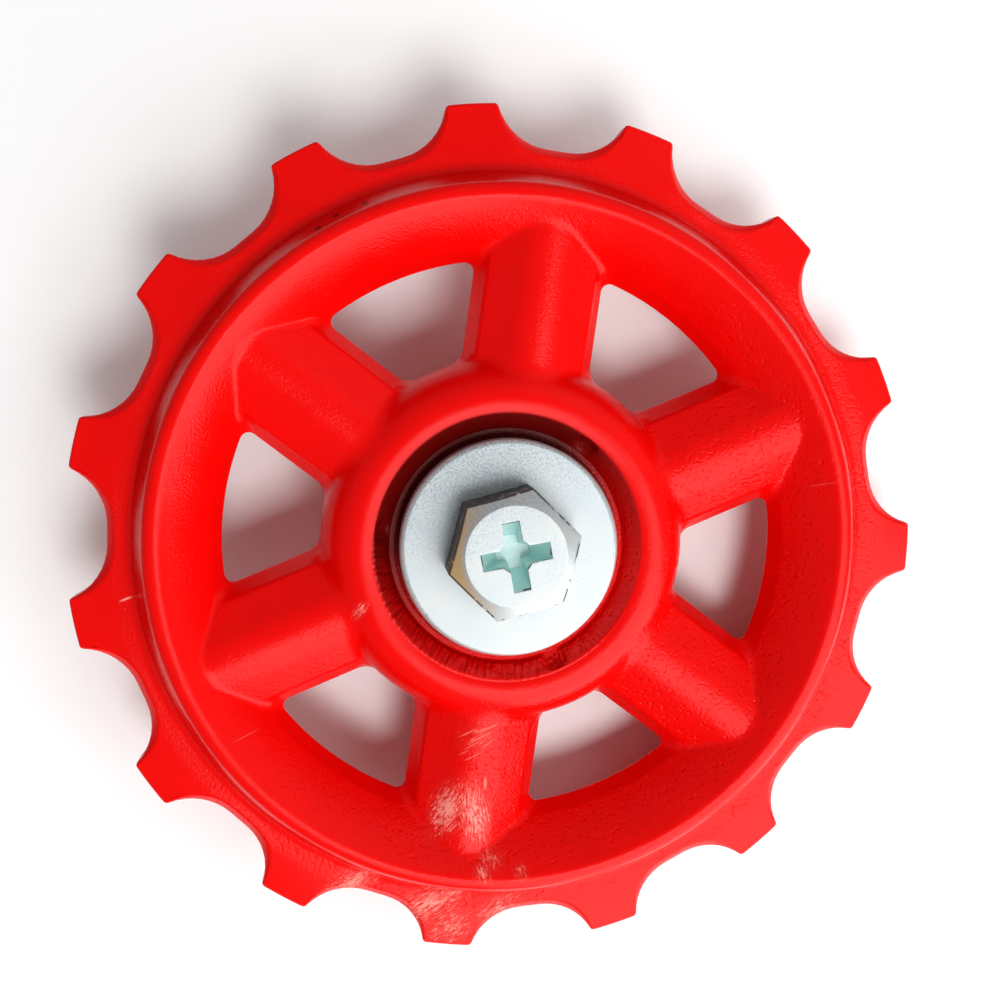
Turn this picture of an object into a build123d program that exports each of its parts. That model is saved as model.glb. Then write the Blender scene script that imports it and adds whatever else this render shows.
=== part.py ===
from build123d import *
from math import cos, pi, radians, sin, tan
import os

# A jockey wheel for half-inch bicycle chain, on its bolt, in millimetres.
# Origin: the middle of the tooth ring on the wheel's axis. +Z: towards the bolt's head.
# One spoke and the tooth at its end point along -Y.

# Tooth ring
tooth_count = 15
chain_pitch = 12.7
roller_diameter = 7.75
roller_clearance = 0.1
valley_float = 1.45
tooth_height = 2.8
ring_thickness = 2.6
tip_thickness = 1.7
tip_taper_start = 0.1
tip_corner_radius = 0.3
bevel_width = 0.55
bevel_height = 0.5

# Rim ridge and its sloping inner wall, the same on both faces
ring_face_width = 1.6
ridge_foot_radius = 0.8
ridge_draft = 1.2
ridge_crest_width = 0.9
ridge_height = 4.3
ridge_outer_round = 0.85
ridge_inner_round = 0.3
rim_wall_angle = 45.0

# Windows: their walls lean back from an edge in the middle plane to a soft shoulder
window_wall_lean = 30.0
window_wall_height = 1.2
window_edge_radius = 0.3
window_shoulder_radius = 0.6

# Spokes: roof-shaped on both faces, with a rounded crown
spoke_count = 6
spoke_width = 9.0
spoke_thickness = 6.64
spoke_roof_angle = 34.0
spoke_crown_radius = 3.07
spoke_blend = 0.4

# Hub
hub_diameter = 25.1
hub_crest_diameter = 19.6
hub_crest_rise = 1.6
mouth_gap = 1.7
mouth_drop = 0.15
floor_land = 1.04
ledge_width = 0.35
ledge_height = 0.15
lip_thickness = 0.6
lip_overhang = 0.75
pocket_clearance = 0.01
pocket_chamfer = 0.3

# Moulding gates: shallow scars in the wall of the front dish
gate_count = 3
gate_radius = 1.25
gate_depth = 0.35

# Ball bearing
bearing_width = 4.0
ring_chamfer = 0.2
ball_count = 7
ball_diameter = 2.381
ball_circle_diameter = 9.0
race_clearance = 0.04
race_depth = 0.28
race_wall = 0.7695
cage_thickness = 0.9
cage_gap = 0.1
cage_crown = 0.75
shield_thickness = 0.2
shield_inset = 0.15
shield_step = 0.15
shield_gap = 0.1
shield_clearance = 0.02

# Washers, spacers and bolt
washer_diameter = 14.6
washer_clearance = 0.17
washer_thickness = 1.2
washer_edge_round = 0.35
spacer_length = 1.3
spacer_wall = 0.75
spacer_clearance = 0.07
spacer_chamfer = 0.1
shank_clearance = 0.02
thread_relief = 0.03
thread_length = 3.0
thread_chamfer = 0.5
undercut_width = 0.9
undercut_depth = 0.6
head_across_flats = 7.75
head_height = 3.35
head_face_diameter = 6.6
head_chamfer_angle = 30.0
head_turn = 23.0
cross_span = 4.55
cross_arm_width = 1.12
cross_depth = 2.3
cross_floor_span = 2.2
cross_floor_width = 0.95
cross_core_diameter = 2.2
cross_core_floor = 1.2
cross_turn = 18.0

# Places along the wheel's radius
pitch_radius = chain_pitch / (2 * sin(pi / tooth_count))
seat_radius = roller_diameter / 2 + roller_clearance
root_radius = pitch_radius - seat_radius
tip_radius = root_radius + tooth_height
ridge_foot = root_radius - ring_face_width
ridge_outer = ridge_foot - ridge_draft
ridge_inner = ridge_outer - ridge_crest_width
rim_shoulder = ridge_inner - (ridge_height - window_wall_height) / tan(radians(rim_wall_angle))
window_edge = rim_shoulder - window_wall_height * tan(radians(window_wall_lean))
race_radius = ball_diameter / 2 + race_clearance
outer_shoulder = ball_circle_diameter / 2 + race_radius - race_depth
inner_shoulder = ball_circle_diameter / 2 - race_radius + race_depth
bearing_radius = ball_circle_diameter / 2 + race_radius + race_wall
bore_radius = ball_circle_diameter / 2 - race_radius - race_wall
shield_seat = outer_shoulder + shield_step
pocket_radius = bearing_radius + pocket_clearance
lip_radius = bearing_radius - lip_overhang
ledge_radius = pocket_radius + floor_land
dish_foot = ledge_radius + ledge_width
mouth_radius = washer_diameter / 2 + mouth_gap
shank_radius = bore_radius - shank_clearance
thread_radius = shank_radius - thread_relief
undercut_radius = thread_radius - undercut_depth

# Heights along the axis, from the middle of the tooth ring
bearing_face = bearing_width / 2
shield_outer_face = bearing_face - shield_inset
shield_inner_face = shield_outer_face - shield_thickness
lip_face = bearing_face + lip_thickness
ledge_face = lip_face + ledge_height
hub_crest = lip_face + hub_crest_rise
mouth_edge = hub_crest - mouth_drop
washer_seat = bearing_face + spacer_length
head_seat = washer_seat + washer_thickness
bolt_end = -head_seat - thread_length

first_angle = -90.0


def around(count, start=first_angle):
    """The angles of a full ring of equal steps."""
    return [start + i * 360 / count for i in range(count)]


def spin(outline):
    """A solid of revolution from a closed outline of radius and height."""
    return revolve(Plane.XZ * make_face(outline), Axis.Z)


def tube(outer, inner, low, high, chamfer_size=0.0):
    """A ring between two radii and two heights, with its outer edges broken."""
    points = [(inner, low), (outer, low), (outer, high), (inner, high)]
    ring = spin(Polyline(*points, close=True))
    if chamfer_size:
        edges = ring.edges().filter_by(GeomType.CIRCLE).group_by(SortBy.RADIUS)[-1]
        ring = chamfer(edges, chamfer_size)
    return ring


def torus_at(radius, section):
    """The ring that the balls sweep, with its own section radius."""
    return spin(Pos(radius, 0) * Circle(section).wire())


def rim():
    """The tooth ring's blank, the raised ridge and the wall that slopes down to the windows."""
    upper = [
        (tip_radius, tip_thickness / 2, 0),
        (root_radius - tip_taper_start, ring_thickness / 2, 0),
        (ridge_foot, ring_thickness / 2, ridge_foot_radius),
        (ridge_outer, ridge_height, ridge_outer_round),
        (ridge_inner, ridge_height, ridge_inner_round),
        (rim_shoulder, window_wall_height, window_shoulder_radius),
    ]
    lower = [(radius, -height, rounding) for radius, height, rounding in reversed(upper)]
    corners = upper + [(window_edge, 0, window_edge_radius)] + lower
    points = [(radius, height) for radius, height, rounding in corners]
    return spin(FilletPolyline(*points, radius=[corner[2] for corner in corners], close=True))


def valley_cutter():
    """The space a chain roller drops into: wider than the roller, and flared at both faces of the ring."""
    face = ring_thickness / 2
    waist = face - bevel_height

    def slot(widening, height):
        return Pos(0, 0, height) * Rot(0, 0, 90) * SlotCenterToCenter(valley_float, 2 * (seat_radius + widening))
    flare = loft([slot(0, waist), slot(bevel_width, face)])
    flare += extrude(slot(bevel_width, face), face)
    return extrude(slot(0, 0), waist, both=True) + flare + mirror(flare, about=Plane.XY)


def hub():
    """The round hub with its dished mouths and the pocket that the bearing is pressed into."""
    crest_radius = hub_crest_diameter / 2
    bulge = hub_diameter / 2 - crest_radius
    dish = [
        (mouth_radius, mouth_edge),
        (dish_foot, ledge_face),
        (ledge_radius, ledge_face),
        (ledge_radius, lip_face),
    ]
    back_dish = [(radius, -height) for radius, height in reversed(dish)]
    pocket = [
        (lip_radius, lip_face),
        (lip_radius, bearing_face),
        (pocket_radius, bearing_face),
        (pocket_radius, -lip_face + pocket_chamfer),
        (pocket_radius + pocket_chamfer, -lip_face),
    ]
    outline = EllipticalCenterArc((crest_radius, 0), bulge, hub_crest, start_angle=-90, arc_size=180)
    outline += TangentArc((crest_radius, hub_crest), (mouth_radius, mouth_edge), tangent=(-1, 0))
    outline += Polyline(*dish, *pocket, *back_dish)
    outline += TangentArc((crest_radius, -hub_crest), (mouth_radius, -mouth_edge), tangent=(-1, 0))
    return spin(outline)


def spoke(angle):
    """A roof-shaped spoke with a rounded crown, from inside the hub to inside the rim's wall."""
    crown = spoke_thickness / 2
    slope = tan(radians(spoke_roof_angle))
    ridge_line = crown + spoke_crown_radius * (1 / cos(radians(spoke_roof_angle)) - 1)
    lean = tan(radians(window_wall_lean))
    shoulder = (ridge_line - slope * spoke_width / 2) / (1 - slope * lean)
    right = [
        (spoke_width / 2 - lean * shoulder, -shoulder, window_shoulder_radius),
        (spoke_width / 2, 0, window_edge_radius),
        (spoke_width / 2 - lean * shoulder, shoulder, window_shoulder_radius),
    ]
    left = [(-across, -height, rounding) for across, height, rounding in right]
    corners = [(0, -ridge_line, spoke_crown_radius)] + right + [(0, ridge_line, spoke_crown_radius)] + left
    points = [(across, height) for across, height, rounding in corners]
    outline = FilletPolyline(*points, radius=[corner[2] for corner in corners], close=True)
    start = (mouth_radius + hub_diameter / 2) / 2
    end = ridge_inner - (ridge_height - crown) / 2 / tan(radians(rim_wall_angle))
    outward = (cos(radians(angle)), sin(radians(angle)), 0)
    across = (-outward[1], outward[0], 0)
    section = Plane(origin=(start * outward[0], start * outward[1], 0), x_dir=across, z_dir=outward)
    return extrude(section * make_face(outline), end - start)


def gate_scar(angle):
    """The shallow hollow left where a moulding gate was broken off the dish wall."""
    wall = Vector(dish_foot - mouth_radius, ledge_face - mouth_edge)
    normal = Vector(wall.Y, -wall.X).normalized()
    stand_off = gate_radius - gate_depth
    radius = (mouth_radius + dish_foot) / 2 + normal.X * stand_off
    height = (mouth_edge + ledge_face) / 2 + normal.Y * stand_off
    return Rot(0, 0, angle) * Pos(radius, 0, height) * Sphere(gate_radius)


def tooth_ring():
    """The rim with a roller valley between each pair of teeth, and the corners of the tips rounded."""
    first_valley = first_angle + 180 / tooth_count
    cutter = Pos(pitch_radius, 0, 0) * valley_cutter()
    ring = rim() - [Rot(0, 0, angle) * cutter for angle in around(tooth_count, first_valley)]
    upright = ring.edges().filter_by(Axis.Z)
    corners = upright.filter_by(lambda edge: abs(edge.center().Y) > tip_corner_radius)
    return fillet(corners, tip_corner_radius)


def toothed_wheel():
    """The whole moulding: tooth ring, ridges, spokes and hub in one piece."""
    ring = tooth_ring()
    centre = hub()
    spokes = [spoke(angle) for angle in around(spoke_count)]
    body = ring + centre + spokes
    body = fillet(new_edges(ring, centre, *spokes, combined=body), spoke_blend)
    first_gate = first_angle + 180 / spoke_count
    return body - [gate_scar(angle) for angle in around(gate_count, first_gate)]


def bearing_outer_ring():
    """The ring pressed into the hub, with a groove for the balls and a step for each shield."""
    ring = tube(bearing_radius, outer_shoulder, -bearing_face, bearing_face, ring_chamfer)
    for side in (1, -1):
        ring -= tube(shield_seat, inner_shoulder, side * shield_inner_face, side * bearing_width)
    return ring - torus_at(ball_circle_diameter / 2, race_radius)


def bearing_inner_ring():
    """The ring clamped between the spacers, with its groove for the balls."""
    ring = tube(inner_shoulder, bore_radius, -bearing_face, bearing_face, ring_chamfer)
    return ring - torus_at(ball_circle_diameter / 2, race_radius)


def ball_places():
    """The centres of the balls on their circle."""
    return [Rot(0, 0, a) * Pos(ball_circle_diameter / 2, 0, 0) for a in around(ball_count)]


def bearing_cage():
    """A crown cage: a base ring behind the balls with posts that reach between them."""
    middle = ball_circle_diameter / 2
    base = cage_gap - shield_inner_face
    crown = tube(middle + cage_thickness / 2, middle - cage_thickness / 2, base, cage_crown)
    return crown - [place * Sphere(race_radius) for place in ball_places()]


def bearing_shield(side):
    """A thin pressed disc that closes one face of the bearing and turns with the outer ring."""
    inner = inner_shoulder + shield_gap
    outer = shield_seat - shield_clearance
    return tube(outer, inner, side * shield_inner_face, side * shield_outer_face)


def spacer(side):
    """A short ring that carries the clamping force from a washer to the bearing's inner ring."""
    inner = bore_radius + spacer_clearance
    return tube(inner + spacer_wall, inner, side * bearing_face, side * washer_seat, spacer_chamfer)


def washer(side):
    """A punched flat washer, its outer edge rolled over on the side away from the wheel."""
    bore = shank_radius + washer_clearance
    ring = tube(washer_diameter / 2, bore, side * washer_seat, side * head_seat)
    rims = ring.edges().filter_by(GeomType.CIRCLE).group_by(SortBy.RADIUS)[-1].sort_by(Axis.Z)
    return fillet(rims[-1] if side > 0 else rims[0], washer_edge_round)


def cross_recess():
    """The tapered cross in the bolt's head: two crossed bars and a round core."""
    def bar(turn):
        mouth = Rot(0, 0, turn) * Rectangle(cross_span, cross_arm_width)
        floor = Rot(0, 0, turn) * Rectangle(cross_floor_span, cross_floor_width)
        return loft([mouth, Pos(0, 0, -cross_depth) * floor])
    core = Cone(cross_core_floor / 2, cross_core_diameter / 2, cross_depth)
    core = Pos(0, 0, -cross_depth / 2) * core
    return bar(0) + bar(90) + core


def axle_bolt():
    """The bolt: hexagon head with a cross recess, plain shank, undercut and thread end."""
    top = head_seat + head_height
    corner_radius = head_across_flats / 2 / cos(pi / 6)
    hexagon = Rot(0, 0, head_turn) * RegularPolygon(corner_radius, 6)
    head = Pos(0, 0, head_seat) * extrude(hexagon, head_height)
    face_radius = head_face_diameter / 2
    drop = (corner_radius - face_radius) * tan(radians(head_chamfer_angle))
    turned = [
        (0, head_seat),
        (corner_radius, head_seat),
        (corner_radius, top - drop),
        (face_radius, top),
        (0, top),
    ]
    head = head & spin(Polyline(*turned, close=True))
    stem = [
        (0, head_seat),
        (shank_radius, head_seat),
        (shank_radius, undercut_width - head_seat),
        (undercut_radius, undercut_width - head_seat),
        (undercut_radius, -head_seat),
        (thread_radius, -head_seat),
        (thread_radius, bolt_end + thread_chamfer),
        (thread_radius - thread_chamfer, bolt_end),
        (0, bolt_end),
    ]
    bolt = head + spin(Polyline(*stem, close=True))
    return bolt - Pos(0, 0, top) * Rot(0, 0, cross_turn) * cross_recess()


nodes = {
    "toothed_wheel": toothed_wheel(),
    "bearing_outer_ring": bearing_outer_ring(),
    "bearing_inner_ring": bearing_inner_ring(),
    "bearing_cage": bearing_cage(),
    "front_shield": bearing_shield(1),
    "rear_shield": bearing_shield(-1),
    "front_spacer": spacer(1),
    "rear_spacer": spacer(-1),
    "front_washer": washer(1),
    "rear_washer": washer(-1),
    "axle_bolt": axle_bolt(),
}
for number, place in enumerate(ball_places(), 1):
    nodes[f"bearing_ball_{number}"] = place * Sphere(ball_diameter / 2)

os.makedirs("parts", exist_ok=True)
for name, solid in nodes.items():
    export_step(solid, f"parts/{name}.step")
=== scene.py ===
import bmesh
import bpy
import numpy as np
from math import acos, asin, cos, pi, radians, sin, sqrt, tan
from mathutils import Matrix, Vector


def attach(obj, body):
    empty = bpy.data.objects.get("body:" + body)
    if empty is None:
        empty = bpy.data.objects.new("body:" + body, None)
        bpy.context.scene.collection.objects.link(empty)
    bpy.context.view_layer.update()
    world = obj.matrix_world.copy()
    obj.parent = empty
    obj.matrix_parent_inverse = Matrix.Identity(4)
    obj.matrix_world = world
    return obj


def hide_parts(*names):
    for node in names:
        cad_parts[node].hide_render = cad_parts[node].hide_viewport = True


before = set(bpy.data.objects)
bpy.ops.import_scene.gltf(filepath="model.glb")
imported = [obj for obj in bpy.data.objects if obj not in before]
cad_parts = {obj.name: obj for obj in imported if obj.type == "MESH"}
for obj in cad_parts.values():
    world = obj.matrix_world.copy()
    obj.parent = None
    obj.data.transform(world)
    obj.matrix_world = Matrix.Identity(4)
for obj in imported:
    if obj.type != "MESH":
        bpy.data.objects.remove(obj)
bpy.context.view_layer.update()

# A chain guide wheel moulded in red plastic, on a zinc-plated bolt with a washer at each end.
# The sizes below are in millimetres, in the frame of the solids: origin in the middle of the tooth
# ring on the axle, +Z towards the bolt's head, one spoke and the tooth at its end along -Y.
MM = 0.001

# Tooth ring
TEETH = 15
PITCH_RADIUS = 12.7 / (2 * sin(pi / TEETH))
SEAT_RADIUS = 7.75 / 2 + 0.1
VALLEY_FLOAT = 1.45
ROOT_RADIUS = PITCH_RADIUS - SEAT_RADIUS
TIP_RADIUS = ROOT_RADIUS + 2.794
RING_HALF = 1.3
TIP_HALF = 0.85
TAPER_START = ROOT_RADIUS - 0.1
TIP_CORNER = 0.3
BEVEL_WIDTH = 0.55
BEVEL_HEIGHT = 0.5
BEVEL_ROUND = 0.25
WORN_EDGE = 0.14

# Rim ridge, its sloping inner wall, the leaning walls of the windows, the spokes and the hub's outside
RIDGE_FOOT = ROOT_RADIUS - 1.6
RIDGE_OUTER = RIDGE_FOOT - 1.2
RIDGE_INNER = RIDGE_OUTER - 0.9
CREST_RADIUS = RIDGE_INNER + 0.22
RIDGE_HEIGHT = 4.3
RIDGE_FOOT_ROUND = 0.8
RIDGE_OUTER_ROUND = 0.85
RIDGE_INNER_ROUND = 0.3
RIM_ANGLE = 45
RIM_APEX = RIDGE_INNER - RIDGE_HEIGHT
RIM_SWELL = 0.16
WALL_ANGLE = 30
WALL_LEAN = tan(radians(WALL_ANGLE))
WALL_HEIGHT = 1.2
WALL_EDGE_ROUND = 0.3
WALL_SHOULDER_ROUND = 0.6
WINDOW_OUTER = RIM_APEX + WALL_HEIGHT * (1 - WALL_LEAN)
WINDOW_CORNER = 0.8
ARCH_CORNER = 0.2
ARCH_LEVELS = (1.0, 1.7)
SPOKES = 6
SPOKE_HALF_WIDTH = 4.5
SPOKE_HALF_DEPTH = 3.32
SPOKE_ROOF = 34
SPOKE_CROWN_ROUND = 3.07
HUB_RADIUS = 12.55
HUB_CREST_RADIUS = 9.8
HUB_CREST = 4.2
HUB_FILLET = 0.5

# The hub's mouths, the bearing's pocket and the moulding gates in the front dish
MOUTH = (9.0, 4.05)
DISH_FOOT = (7.9, 2.75)
LEDGE_RADIUS = 7.55
LIP_FACE = 2.6
LIP_RADIUS = 5.75
BEARING_FACE = 2.0
POCKET_RADIUS = 6.51
POCKET_CHAMFER = 0.3
GATES = 3
GATE_RADIUS = 1.25
GATE_DEPTH = 0.35
MOUTH_ROUND = 0.14
LIP_ROUND = 0.08
POCKET_ROUND = 0.05
SHARP_ROUND = 0.03

# Bolt
HEAD_SEAT = 4.5
HEAD_TOP = 7.85
HEAD_HALF = 7.75 / 2
HEAD_TURN = 23
THREAD_START = -4.5
BOLT_END = -7.5
THREAD_RADIUS = 2.45
THREAD_PITCH = 0.8
THREAD_DEPTH = 0.43
THREAD_CHAMFER = 0.5
HEAD_EDGE = 0.08

# The paper on which the wheel lies: half its side, the way it rises, and where the back ridge meets it
PAPER_HALF = 130
PAPER_RISE = radians(-36.3)
REST_RADIUS = 23.4
PAPER_GAP = 0.02

# How finely the surfaces are drawn
SECTOR_POINTS = 81
SPOKE_POINTS = 31
HUB_POINTS = 41
FRONT_ROWS = 36
BACK_ROWS = 14
THREAD_ROWS = 76
THREAD_SIDES = 64
WELD = 0.002
MERGE = 0.001

FIRST_TOOTH = radians(-90)
FIRST_WINDOW = radians(-60)


def colour(code):
    """A colour written as sRGB hex, as the linear values that Blender's sockets take."""
    parts = [int(code[i:i + 2], 16) / 255 for i in (1, 3, 5)]
    return [c / 12.92 if c <= 0.04045 else ((c + 0.055) / 1.055) ** 2.4 for c in parts] + [1.0]


def put(tree, kind, inputs=None, out=0, **settings):
    """Adds a node with its settings, links or fills its inputs, and returns one of its outputs."""
    made = tree.nodes.new(kind)
    for key, value in settings.items():
        setattr(made, key, value)
    for key, value in (inputs or {}).items():
        if isinstance(value, bpy.types.NodeSocket):
            tree.links.new(value, made.inputs[key])
        else:
            made.inputs[key].default_value = value
    return made.outputs[out] if len(made.outputs) else made


def sheet(grid, flip=False):
    """The points and four-sided faces of a surface given as rows of points."""
    rows, columns = grid.shape[:2]
    index = np.arange(rows * columns).reshape(rows, columns)
    faces = np.stack([index[:-1, :-1], index[1:, :-1], index[1:, 1:], index[:-1, 1:]], -1).reshape(-1, 4)
    return grid.reshape(-1, 3), faces[:, ::-1] if flip else faces


def with_back(points, faces):
    """A front half and its mirror image below the middle plane."""
    back = points * (1, 1, -1)
    return np.concatenate([points, back]), np.concatenate([faces, faces[:, ::-1] + len(points)])


def mesh_object(name, points, faces):
    """A mesh object from points in millimetres."""
    mesh = bpy.data.meshes.new(name)
    mesh.from_pydata((points * MM).tolist(), [], faces.tolist())
    made = bpy.data.objects.new(name, mesh)
    bpy.context.scene.collection.objects.link(made)
    return made


def rounded(corners, steps=5):
    """The points of a profile whose corners are (radius, height, rounding)."""
    places = [np.array(corner[:2], float) for corner in corners]
    points = []
    for i, corner in enumerate(corners):
        if not corner[2]:
            points.append(places[i])
            continue
        before = places[i - 1] - places[i]
        after = places[i + 1] - places[i]
        before /= np.linalg.norm(before)
        after /= np.linalg.norm(after)
        half = acos(before @ after) / 2
        middle = (before + after) / np.linalg.norm(before + after)
        centre = places[i] + middle * corner[2] / sin(half)
        start = places[i] + before * corner[2] / tan(half) - centre
        end = places[i] + after * corner[2] / tan(half) - centre
        sweep = pi - 2 * half
        for t in np.linspace(0, 1, steps + 1):
            points.append(centre + (sin((1 - t) * sweep) * start + sin(t * sweep) * end) / sin(sweep))
    return np.array(points)


def arc(centre, start, end, steps):
    """Points around a centre from one direction to another, without the first."""
    radius = np.linalg.norm(start)
    a = np.arctan2(start[1], start[0])
    turn = (np.arctan2(end[1], end[0]) - a + pi) % (2 * pi) - pi
    angles = a + turn * np.arange(1, steps + 1) / steps
    return [centre + radius * np.array((cos(t), sin(t))) for t in angles]


def tooth_sector():
    """One tooth with half a roller valley on each side, from the ridge's crest out to the tip."""
    half = pi / TEETH
    out = np.array((cos(half), -sin(half)))
    along = np.array((sin(half), cos(half)))
    seat = PITCH_RADIUS * out + along * VALLEY_FLOAT / 2
    # The round of the tip's corner touches the flank's arc and the tip's circle.
    far, near = TIP_RADIUS - TIP_CORNER, SEAT_RADIUS + TIP_CORNER
    reach = np.linalg.norm(seat)
    a = (far ** 2 - near ** 2 + reach ** 2) / (2 * reach)
    corner = seat / reach * a + np.array((-seat[1], seat[0])) / reach * sqrt(far ** 2 - a ** 2)
    outline = [PITCH_RADIUS * out - SEAT_RADIUS * out, seat - SEAT_RADIUS * out]
    inward = [-out, -out]
    flank = arc(seat, -SEAT_RADIUS * out, (corner - seat) / near * SEAT_RADIUS, 8)
    inward += [(p - seat) / SEAT_RADIUS for p in flank]
    turn = arc(corner, (seat - corner) / near * TIP_CORNER, corner / far * TIP_CORNER, 3)
    inward += [(corner - p) / TIP_CORNER for p in turn]
    tip = arc(np.zeros(2), corner / far * TIP_RADIUS, np.array((TIP_RADIUS, 0.0)), 4)
    inward += [-p / TIP_RADIUS for p in tip]
    outline = np.array(outline + flank + turn + tip)
    inward = np.array(inward)
    outline = np.concatenate([outline, outline[-2::-1] * (1, -1)])
    inward = np.concatenate([inward, inward[-2::-1] * (1, -1)])

    def face_height(radius):
        run = np.maximum(0, radius - TAPER_START) / (TIP_RADIUS - TAPER_START)
        return RING_HALF - run * (RING_HALF - TIP_HALF)
    slope = BEVEL_HEIGHT / BEVEL_WIDTH
    waist = RING_HALF - BEVEL_HEIGHT
    bevel = np.full(len(outline), 0.2)
    for _ in range(20):
        bevel = (face_height(np.linalg.norm(outline + inward * bevel[:, None], axis=1)) - waist) / slope
    bevel = np.maximum(bevel, WORN_EDGE)
    angles = np.linspace(-half, half, len(outline))
    ridge = rounded([(CREST_RADIUS, RIDGE_HEIGHT, 0), (RIDGE_OUTER, RIDGE_HEIGHT, RIDGE_OUTER_ROUND),
                     (RIDGE_FOOT, RING_HALF, RIDGE_FOOT_ROUND), (ROOT_RADIUS, RING_HALF, 0)])[:-1]
    columns = []
    for angle, edge, into, width in zip(angles, outline, inward, bevel):
        crease = face_height(np.linalg.norm(edge + into * width))
        fall = min(BEVEL_ROUND, width)
        side = rounded([(0, 0, 0), (0, crease - width * slope, fall), (width, crease, fall),
                        (width + 0.5, crease, 0)], 3)[:-1]
        lip = np.concatenate([edge + into * side[:, :1], side[:, 1:]], 1)[::-1]
        climb = [np.array((r * cos(angle), r * sin(angle), z)) for r, z in ridge]
        land = []
        for t in (0.2, 0.4, 0.6, 0.8):
            spot = climb[-1][:2] * (1 - t) + lip[0, :2] * t
            land.append(np.append(spot, face_height(np.linalg.norm(spot))))
        columns.append(np.array(climb + land + list(lip)))
    return with_back(*sheet(np.array(columns).swapaxes(0, 1)))


def joined(a, b, radius):
    """Two distance fields as one solid, with a fillet where they meet."""
    fillet = np.hypot(np.maximum(radius - a, 0), np.maximum(radius - b, 0))
    return np.maximum(radius, np.minimum(a, b)) - fillet


def rounded_edge(a, b, turn, radius):
    """What lies inside two faces whose normals are turned apart by so many degrees, with a round edge."""
    u, v, c = a + radius, b + radius, cos(radians(turn))
    far = np.sqrt(np.maximum(u * u + v * v - 2 * u * v * c, 0)) / sin(radians(turn)) - radius
    return np.where((u > c * v) & (v > c * u), far, np.maximum(a, b))


def web_field(x, y, z):
    """Distance to the rim's wall, the two spokes beside a window and the hub, about a window on +X."""
    r = np.hypot(x, y)
    upright = cos(radians(WALL_ANGLE))
    lean = 90 - WALL_ANGLE

    def window_wall(height):
        return (WINDOW_OUTER + height * WALL_LEAN - r) * upright
    # The rim's wall leans at 45 degrees and is slightly crowned.
    climb = np.clip((r - RIM_APEX - WALL_HEIGHT) / (RIDGE_HEIGHT - WALL_HEIGHT), 0, 1)
    cone = (z - r + RIM_APEX) / sqrt(2) - RIM_SWELL * np.sin(pi * climb)
    rim = rounded_edge(cone, z - RIDGE_HEIGHT, RIM_ANGLE, RIDGE_INNER_ROUND)
    rim = rounded_edge(rim, rounded_edge(window_wall(z), window_wall(-z), 2 * WALL_ANGLE, WALL_EDGE_ROUND),
                       lean - RIM_ANGLE, WALL_SHOULDER_ROUND)
    half = pi / SPOKES
    across = np.abs(np.abs(y) * cos(half) - x * sin(half))
    roof_fall, roof_cos = tan(radians(SPOKE_ROOF)), cos(radians(SPOKE_ROOF))
    ridge_line = SPOKE_HALF_DEPTH + SPOKE_CROWN_ROUND * (1 / roof_cos - 1)

    def roof(side):
        return (z + side * roof_fall - ridge_line) * roof_cos

    def flank(height):
        return (across + height * WALL_LEAN - SPOKE_HALF_WIDTH) * upright
    crown = rounded_edge(roof(across), roof(-across), 2 * SPOKE_ROOF, SPOKE_CROWN_ROUND)
    spoke = rounded_edge(crown, rounded_edge(flank(z), flank(-z), 2 * WALL_ANGLE, WALL_EDGE_ROUND),
                         lean - SPOKE_ROOF, WALL_SHOULDER_ROUND)
    out = np.maximum(r - HUB_CREST_RADIUS, 0)
    half_width = HUB_RADIUS - HUB_CREST_RADIUS
    steep = np.hypot(out / half_width ** 2, z / HUB_CREST ** 2)
    hub = ((out / half_width) ** 2 + (z / HUB_CREST) ** 2 - 1) / (2 * steep + 1e-9)
    # The windows have round corners; higher up the spokes run into the rim's slope with a crisp arch.
    corner = np.interp(z, ARCH_LEVELS, (WINDOW_CORNER, ARCH_CORNER))
    return joined(joined(rim, spoke, corner), hub, np.maximum(corner, HUB_FILLET))


def between(inside, outside, field):
    """The place from inside (0) to outside (1) where the field turns positive."""
    low, high = inside, outside
    for _ in range(40):
        middle = (low + high) / 2
        solid = field(middle) < 0
        low, high = np.where(solid, middle, low), np.where(solid, high, middle)
    return (low + high) / 2


def window_sector():
    """One window with half a spoke on each side, from the ridge's crest in to the hub's crest."""
    half = pi / SPOKES
    inner, outer = HUB_CREST_RADIUS, CREST_RADIUS
    sweep = np.linspace(-half, half, SECTOR_POINTS)
    # The points lie closer together where the spoke meets the rim and the hub.
    knots = np.interp(np.linspace(0, 1, SPOKE_POINTS), (0, 0.3, 0.55, 1), (0, 0.2, 0.7, 1))
    spoke_line = outer + (inner - outer) * knots
    loop = [(outer * cos(t), outer * sin(t)) for t in sweep]
    loop += [(r * cos(half), r * sin(half)) for r in spoke_line[1:]]
    loop += [(inner * cos(t), inner * sin(t)) for t in np.linspace(half, -half, HUB_POINTS)[1:]]
    loop += [(r * cos(half), -r * sin(half)) for r in spoke_line[::-1][1:]]
    loop = np.array(loop)
    middle = np.array(((HUB_RADIUS + WINDOW_OUTER) / 2, 0.0))
    ray = loop - middle
    level = np.zeros(len(loop))
    open_to = between(level + 1, level, lambda s: web_field(
        middle[0] + ray[:, 0] * s, middle[1] + ray[:, 1] * s, level))
    edge = middle + ray * open_to[:, None]
    halves = []
    # The front, which is seen most, gets the finer rows.
    for rows, side in ((FRONT_ROWS, 1), (BACK_ROWS, -1)):
        grid = []
        for t in np.linspace(0, 1, rows + 1):
            plan = edge + (loop - edge) * (1 - sin(t * pi / 2))
            height = level if t == 1 else between(
                level, level + 5, lambda z: web_field(plan[:, 0], plan[:, 1], z))
            grid.append(np.concatenate([plan, side * height[:, None]], 1))
        halves.append(sheet(np.array(grid), flip=side > 0))
    (front, front_faces), (back, back_faces) = halves
    return np.concatenate([front, back]), np.concatenate([front_faces, back_faces + len(front)])


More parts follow.
